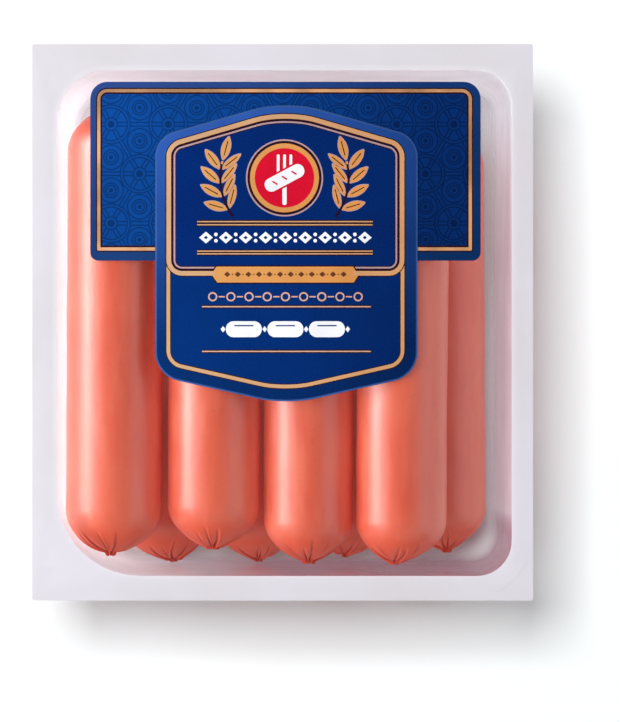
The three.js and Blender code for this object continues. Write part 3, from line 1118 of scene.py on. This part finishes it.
barEnds = {"square": 0.1, "soft": 0.4, "round": 0.48}       # corner radii as shares of a bar's width
rules = {
    "gold": ((26.69, 0.84), (18.8, 0.72)),     # each pair's middle, and how far apart its two lines are
    "goldLeft": -23.0,
    "goldRight": 24.3,
    "pale": (4.2, -7.85),
    "paleLeft": -21.7,
    "paleRight": 23.8,
    "width": 0.34,
    "shade": 0.3,            # the dark backing shows this far round the lines
    "shadeRadius": 0.1,
}
ribbon = {
    "corners": ((19.0, 15.0), (-17.8, 15.0), (-18.5, 13.95), (-18.8, 12.4), (-17.6, 10.7), (19.2, 10.7),
                (20.3, 12.4), (19.7, 13.95)),
    "radius": 0.2,
    "steps": 4,
    "outline": 0.34,
    "joints": ((-18.9, 13.18), (20.0, 13.18)),     # where it runs into the frame's gold
    "jointSize": (1.6, 1.24),
    "jointRadius": 0.05,
}
medallion = {
    "x": 0.54,
    "y": 38.9,
    "radii": (10.4, 9.98, 9.3, 8.0),       # pale line, dark line, gold ring, red disc
    "steps": 96,
    "sausageLength": 11.6,
    "sausageWidth": 3.7,
    "sausageTurn": 28,
    "sausageOutline": 0.5,
    "sausageSteps": 8,
    "cuts": (-2.9, 0.0, 2.9),
    "cutLength": 1.7,
    "cutWidth": 0.42,
    "cutTurn": -60,          # degrees, from along the sausage
    "tines": (-1.7, 0.0, 1.7),
    "tineWidth": 0.75,
    "forkTop": 6.3,
    "forkWaist": 1.2,
    "forkBottom": -6.9,
    "handleWidth": 1.15,
    "forkSteps": 4,
}
laurel = {
    "radius": 17.3,          # of the stem's bend, round the medallion
    "start": 214,            # degrees, on the left branch
    "end": 165,
    "pairs": 4,
    "firstPair": 0.35,       # of the way from the start to where the second pair's share begins
    "stemWidth": 0.6,
    "stemTail": 3,           # degrees that the stem runs on past the start
    "stemSteps": 20,
    "leafLength": 6.7,
    "outerLeaf": 3.6,
    "innerLeaf": 2.9,
    "leafTurn": 44,
    "leafGap": 0.3,
    "tipRadius": 0.2,
    "sideBend": 0.36,        # times the length squared over the width, the bend of a leaf's sides
    "leafSteps": 5,
    "outline": 0.22,
    "veinWidth": 0.24,
    "veinShare": 0.6,        # of the leaf's length
    "veinEnd": 0.3,
}
rows = {
    "lozenges": {"y": 22.82, "count": 9, "pitch": 5.35, "size": (3.7, 3.2), "heart": (1.15, 1.0), "steps": 2,
                 "bead": 0.5, "beadSteps": 12, "beadLift": 0.85},
    "ribbonMarks": {"y": 12.92, "count": 12, "pitch": 2.85, "size": (1.7, 1.5), "bead": 0.2, "beadSteps": 10},
    "rings": {"y": 6.88, "count": 9, "pitch": 4.9, "outer": 1.25, "inner": 0.85, "steps": 24,
              "dash": (1.7, 0.36, 0.1)},
    "links": {"y": -1.87, "count": 3, "pitch": 11.2, "size": (9.7, 4.3), "steps": 8, "knot": (1.275, 1.7),
              "shine": (5.2, 0.34), "shineLift": 0.95},
}


def placeShape(corners, x, y, turn=0.0, flip=1):
    # an outline turned by degrees about its middle and moved there; flip -1 mirrors the turn left to right
    cosine, sine = math.cos(math.radians(turn)), math.sin(math.radians(turn))
    return [(x + flip * (cosine * across - sine * up), y + sine * across + cosine * up, radius)
            for across, up, radius in corners]


def lozenge(width, height, radius=0.08):
    across, up = width / 2, height / 2
    return [(across, 0, radius), (0, up, radius), (-across, 0, radius), (0, -up, radius)]


def leafOutline(length, width):
    side = laurel["sideBend"] * length ** 2 / width
    tip = laurel["tipRadius"]
    return [(length / 2, 0, tip), (0, width / 2, side), (-length / 2, 0, tip), (0, -width / 2, side)]


def bar(length, width, radius):
    return rectangle(-length / 2, length / 2, -width / 2, width / 2, (radius,) * 4)


def endedBar(length, width, ends="soft"):
    return bar(length, width, width * barEnds[ends])


def addShape(mesh, corners, material=0, segments=2):
    face = roundedFace(mesh, corners, 0, segments)
    face.material_index = material


def addRing(mesh, x, y, outer, inner, steps, material):
    place = Matrix.Translation((x, y, 0))
    rings = [bmesh.ops.create_circle(mesh, radius=radius, segments=steps, matrix=place)["verts"]
             for radius in (outer, inner)]
    joinLoops(mesh, *rings, material)


def addDisc(mesh, x, y, radius, steps, material=0):
    made = bmesh.ops.create_circle(mesh, cap_ends=True, radius=radius, segments=steps,
                                   matrix=Matrix.Translation((x, y, 0)))
    for face in {face for vert in made["verts"] for face in vert.link_faces}:
        face.material_index = material


def rowPlaces(row, between=False):
    # the places of a row's marks, or of the gaps between them
    count = row["count"] - (1 if between else 0)
    return [shieldFrame["centreX"] + (index - (count - 1) / 2) * row["pitch"] for index in range(count)]


def buildRules():
    # pairs of gold lines and single pale ones, each on a dark backing
    lines = bmesh.new()
    backing = bmesh.new()
    width, shade = rules["width"], rules["shade"]
    sets = [("gold", y, gap) for y, gap in rules["gold"]] + [("pale", y, 0.0) for y in rules["pale"]]
    for kind, y, gap in sets:
        left, right = rules[kind + "Left"], rules[kind + "Right"]
        middle = (left + right) / 2
        shape = bar(right - left, gap + width + 2 * shade, rules["shadeRadius"])
        addShape(backing, placeShape(shape, middle, y), segments=1)
        for lift in {gap / 2, -gap / 2}:
            shape = endedBar(right - left, width, "square")
            addShape(lines, placeShape(shape, middle, y + lift), 0 if kind == "gold" else 1, segments=1)
    finishPrint("rule_backing", backing, 3, ("dark",))
    finishPrint("shield_rules", lines, 4, ("gold", "blush"))


def buildRibbon():
    mesh = bmesh.new()
    corners = [(x, y, ribbon["radius"]) for x, y in ribbon["corners"]]
    nestedBands(mesh, [insetCorners(corners, -ribbon["outline"]), corners], 0, ribbon["steps"], [0, 1])
    finishPrint("shield_ribbon", mesh, 3, ("dark", "brightGold"))


def buildRibbonMarks():
    row = rows["ribbonMarks"]
    mesh = bmesh.new()
    for x in rowPlaces(row):
        addShape(mesh, placeShape(lozenge(*row["size"]), x, row["y"]))
    for x in rowPlaces(row, True):
        addDisc(mesh, x, row["y"], row["bead"], row["beadSteps"])
    for x, y in ribbon["joints"]:
        addShape(mesh, placeShape(bar(*ribbon["jointSize"], ribbon["jointRadius"]), x, y), 1, segments=1)
    finishPrint("ribbon_marks", mesh, 4, ("brown", "gold"))


def buildMedallion():
    mesh = bmesh.new()
    x, y, steps = medallion["x"], medallion["y"], medallion["steps"]
    radii = medallion["radii"]
    for material, (outer, inner) in enumerate(zip(radii, radii[1:])):
        addRing(mesh, x, y, outer, inner, steps, material)
    addDisc(mesh, x, y, radii[-1], steps, 3)
    bmesh.ops.remove_doubles(mesh, verts=mesh.verts, dist=weldGap)
    finishPrint("shield_medallion", mesh, 3, ("pale", "dark", "brightGold", "red"))


def buildFork():
    # a plain fork, tines up, behind the sausage in the medallion
    x, y = medallion["x"], medallion["y"]
    mesh = bmesh.new()
    tine, waist, top = medallion["tineWidth"], medallion["forkWaist"], medallion["forkTop"]
    for offset in medallion["tines"]:
        shape = bar(tine, top - waist, tine * barEnds["soft"])
        addShape(mesh, placeShape(shape, x + offset, y + (top + waist) / 2), segments=medallion["forkSteps"])
    width, long = medallion["handleWidth"], waist - medallion["forkBottom"]
    handle = bar(width, long, width * barEnds["soft"])
    handle = placeShape(handle, x, y + waist - long / 2 - tine / 2)
    addShape(mesh, handle, segments=medallion["forkSteps"])
    finishPrint("medallion_fork", mesh, 4, ("white",))


def buildEmblemSausage():
    x, y, turn = medallion["x"], medallion["y"], medallion["sausageTurn"]
    body = endedBar(medallion["sausageLength"], medallion["sausageWidth"], "round")
    inner = placeShape(body, x, y, turn)
    outer = insetCorners(inner, -medallion["sausageOutline"])
    mesh = bmesh.new()
    nestedBands(mesh, [outer, inner], 0, medallion["sausageSteps"], [0, 1])
    finishPrint("medallion_sausage", mesh, 5, ("red", "white"))
    mesh = bmesh.new()
    cut = endedBar(medallion["cutLength"], medallion["cutWidth"])
    ahead = math.radians(turn)
    for along in medallion["cuts"]:
        place = (x + along * math.cos(ahead), y + along * math.sin(ahead))
        addShape(mesh, placeShape(cut, *place, turn + medallion["cutTurn"]))
    finishPrint("medallion_cuts", mesh, 6, ("red",))


def laurelPlaces():
    # for each leaf: where it grows from the stem, its turn and its width, all on the left branch
    places = []
    step = (laurel["start"] - laurel["end"]) / laurel["pairs"]
    for index in range(laurel["pairs"]):
        angle = laurel["start"] - (index + laurel["firstPair"]) * step
        for side, width in ((1, laurel["outerLeaf"]), (-1, laurel["innerLeaf"])):
            places.append((angle, angle - 90 + side * laurel["leafTurn"], width))
    places.append((laurel["end"], laurel["end"] - 90, laurel["outerLeaf"]))
    return places


def buildLaurel(name, flip):
    # one branch beside the medallion: flip 1 on the left, -1 on the right
    x, y = medallion["x"], medallion["y"]
    leaves = bmesh.new()
    veins = bmesh.new()
    length = laurel["leafLength"]
    for angle, turn, width in laurelPlaces():
        along = length / 2 + laurel["leafGap"]
        stem = math.radians(angle)
        ahead = math.radians(turn)
        across = laurel["radius"] * math.cos(stem) + along * math.cos(ahead)
        up = laurel["radius"] * math.sin(stem) + along * math.sin(ahead)
        leaf = placeShape(leafOutline(length, width), x + flip * across, y + up, turn, flip)
        nestedBands(leaves, [insetCorners(leaf, -laurel["outline"]), leaf], 0, laurel["leafSteps"], [1, 0])
        vein = bar(length * laurel["veinShare"], laurel["veinWidth"], laurel["veinWidth"] * laurel["veinEnd"])
        addShape(veins, placeShape(vein, x + flip * across, y + up, turn, flip), segments=1)
    half = laurel["stemWidth"] / 2
    start = math.radians(laurel["start"] + laurel["stemTail"])
    ends = [veins.verts.new((x + flip * radius * math.cos(start), y + radius * math.sin(start), 0))
            for radius in (laurel["radius"] - half, laurel["radius"] + half)]
    made = bmesh.ops.spin(veins, geom=[*ends, veins.edges.new(ends)], cent=(x, y, 0), axis=(0, 0, 1),
                          dvec=(0, 0, 0), angle=flip * (math.radians(laurel["end"]) - start),
                          steps=laurel["stemSteps"])
    for face in {face for item in made["geom_last"] if isinstance(item, bmesh.types.BMVert)
                 for face in item.link_faces}:
        face.material_index = 1
    finishPrint(name + "_veins", veins, 4, ("dark", "brightGold"))
    finishPrint(name, leaves, 3, ("brightGold", "pale"))


def buildLozenges():
    row = rows["lozenges"]
    mesh = bmesh.new()
    for x in rowPlaces(row):
        outer = placeShape(lozenge(*row["size"]), x, row["y"])
        inner = placeShape(lozenge(*row["heart"]), x, row["y"])
        nestedBands(mesh, [outer, inner], 0, row["steps"], [0, 1])
    for x in rowPlaces(row, True):
        for lift in (-1, 1):
            addDisc(mesh, x, row["y"] + lift * row["beadLift"], row["bead"], row["beadSteps"])
    finishPrint("lozenge_row", mesh, 3, ("white", "navy"))


def buildRings():
    row = rows["rings"]
    mesh = bmesh.new()
    for x in rowPlaces(row):
        addRing(mesh, x, row["y"], row["outer"], row["inner"], row["steps"], 0)
    for x in rowPlaces(row, True):
        addShape(mesh, placeShape(bar(*row["dash"]), x, row["y"]))
    finishPrint("ring_row", mesh, 2, ("blush",))


def buildLinks():
    # three linked sausages, knotted between and at both ends
    row = rows["links"]
    mesh = bmesh.new()
    shine = bmesh.new()
    for x in rowPlaces(row):
        addShape(mesh, placeShape(endedBar(*row["size"], "round"), x, row["y"]), segments=row["steps"])
        addShape(shine, placeShape(endedBar(*row["shine"]), x, row["y"] + row["shineLift"]))
    gap = row["pitch"] / 2
    for x in [rowPlaces(row)[0] - gap, *rowPlaces(row, True), rowPlaces(row)[-1] + gap]:
        addShape(mesh, placeShape(lozenge(*row["knot"]), x, row["y"]))
    finishPrint("link_shine", shine, 3, ("lower",))
    finishPrint("link_row", mesh, 2, ("white",))


buildRules()
buildRibbon()
buildRibbonMarks()
buildMedallion()
buildFork()
buildEmblemSausage()
buildLaurel("laurel_left", 1)
buildLaurel("laurel_right", -1)
buildLozenges()
buildRings()
buildLinks()
print("ornament made")


# Floor, lights and world

floorSettings = {"half": 4.0, "colour": (0.865, 0.905, 0.91, 1.0)}       # half its side, in metres


def buildFloor():
    mesh = bmesh.new()
    bmesh.ops.create_grid(mesh, x_segments=1, y_segments=1, size=floorSettings["half"])
    data = bpy.data.meshes.new("floor")
    mesh.to_mesh(data)
    mesh.free()
    material, tree = newTree("pale_floor")
    shader = addNode(tree, "ShaderNodeBsdfPrincipled", {
        "Base Color": floorSettings["colour"],
        "Roughness": 0.9,
        "Specular IOR Level": 0.1,
    })
    closeTree(tree, shader.outputs[0])
    data.materials.append(material)
    floor = bpy.data.objects.new("floor", data)
    bpy.context.scene.collection.objects.link(floor)
    return floor


lights = {
    "key": {"direction": (-0.82, -0.02, 0.56), "distance": 1.6, "size": (1.3, 1.9), "radiance": 3.8,
            "shows": "diffuse", "lights": "pack"},
    "glint": {"direction": (-0.9, 0.3, 0.33), "distance": 1.6, "size": (0.62, 1.15), "radiance": 13.0,
              "shows": "glossy", "lights": "contents", "through": True},
    "top": {"direction": (-0.35, -0.08, 1.0), "distance": 1.6, "size": (0.5, 0.5), "radiance": 3.6,
            "shows": "diffuse", "lights": "pack"},
    "flank": {"direction": (-0.95, 0.1, 0.22), "distance": 1.6, "size": (0.8, 1.75), "radiance": 2.45,
              "shows": "diffuse", "lights": "pack", "through": True},
    "back": {"direction": (-0.25, 0.92, 0.3), "distance": 1.6, "size": (1.2, 0.8), "radiance": 1.65,
             "shows": "diffuse", "lights": "tray", "through": True},
    "sidePanel": {"direction": (0.85, 0.0, 0.46), "distance": 0.8, "size": (0.75, 1.0), "radiance": 0.55,
                  "colour": (0.95, 0.86, 1.0), "shows": "both", "lights": "pack"},
    "floorLight": {"direction": (-0.17, 0.2, 1.0), "distance": 1.6, "size": (0.56, 0.56), "radiance": 22.5,
                   "shows": "diffuse", "lights": "floor"},
    "floorKey": {"direction": (-0.87, 0.3, 0.5), "distance": 0.8, "size": (0.6, 0.9), "radiance": 0.9,
                 "shows": "diffuse", "lights": "floor"},
}


def buildLight(name, settings, target, receivers):
    width, length = settings["size"]
    data = bpy.data.lights.new(name, "AREA")
    data.shape = "RECTANGLE"
    data.size = width
    data.size_y = length
    data.energy = settings["radiance"] * math.pi * width * length
    data.color = settings.get("colour", data.color)
    lamp = bpy.data.objects.new(name, data)
    away = Vector(settings["direction"]).normalized()
    lamp.location = target + away * settings["distance"]
    side = Vector((0, 1, 0)).cross(away).normalized()
    lamp.rotation_euler = Matrix((side, away.cross(side), away)).transposed().to_euler()
    lamp.visible_diffuse = settings["shows"] != "glossy"
    lamp.visible_glossy = settings["shows"] != "diffuse"
    bpy.context.scene.collection.objects.link(lamp)
    lamp.light_linking.receiver_collection = receivers[settings["lights"]]
    if "through" in settings:        # soft light that the clear pack lets in from the side
        lamp.light_linking.blocker_collection = receivers["floor"]


surroundings = {             # brightness by direction: from and to, and how bright there
    "height": (0.35, 0.95, 0.85, 0.1),
    "front": (-0.9, 0.1, 0.85, 1.0),       # a little darker in front
}


def buildStudio(floor, trayPiece):
    low, high = cadBox
    target = Vector(((low.x + high.x) / 2, (low.y + high.y) / 2, high.z))
    pack = [piece for piece in bpy.context.scene.objects if piece.type == "MESH" and piece != floor]
    contents = [piece for piece in pack if piece != trayPiece]
    receivers = {}
    for name, members in (("pack", pack), ("tray", [trayPiece]), ("contents", contents), ("floor", [floor])):
        receivers[name] = bpy.data.collections.new(name + "_only")
        for member in members:
            receivers[name].objects.link(member)
    for name, settings in lights.items():
        buildLight(name, settings, target, receivers)

    world = bpy.data.worlds.new("studio")
    bpy.context.scene.world = world
    world.use_nodes = True
    tree = world.node_tree
    tree.nodes.clear()
    direction = addNode(tree, "ShaderNodeTexCoord").outputs["Generated"]
    parts = addNode(tree, "ShaderNodeSeparateXYZ", {0: direction}).outputs
    height = addRange(tree, parts[2], *surroundings["height"])
    front = addRange(tree, parts[1], *surroundings["front"])
    strength = addMath(tree, "MULTIPLY", height, front)
    background = addNode(tree, "ShaderNodeBackground", {"Color": (1, 1, 1, 1), "Strength": strength})
    output = tree.nodes.new("ShaderNodeOutputWorld")
    tree.links.new(background.outputs[0], output.inputs["Surface"])
    bpy.context.scene.view_settings.view_transform = "Standard"


floorPiece = buildFloor()
buildStudio(floorPiece, trayShell)
print("studio made")
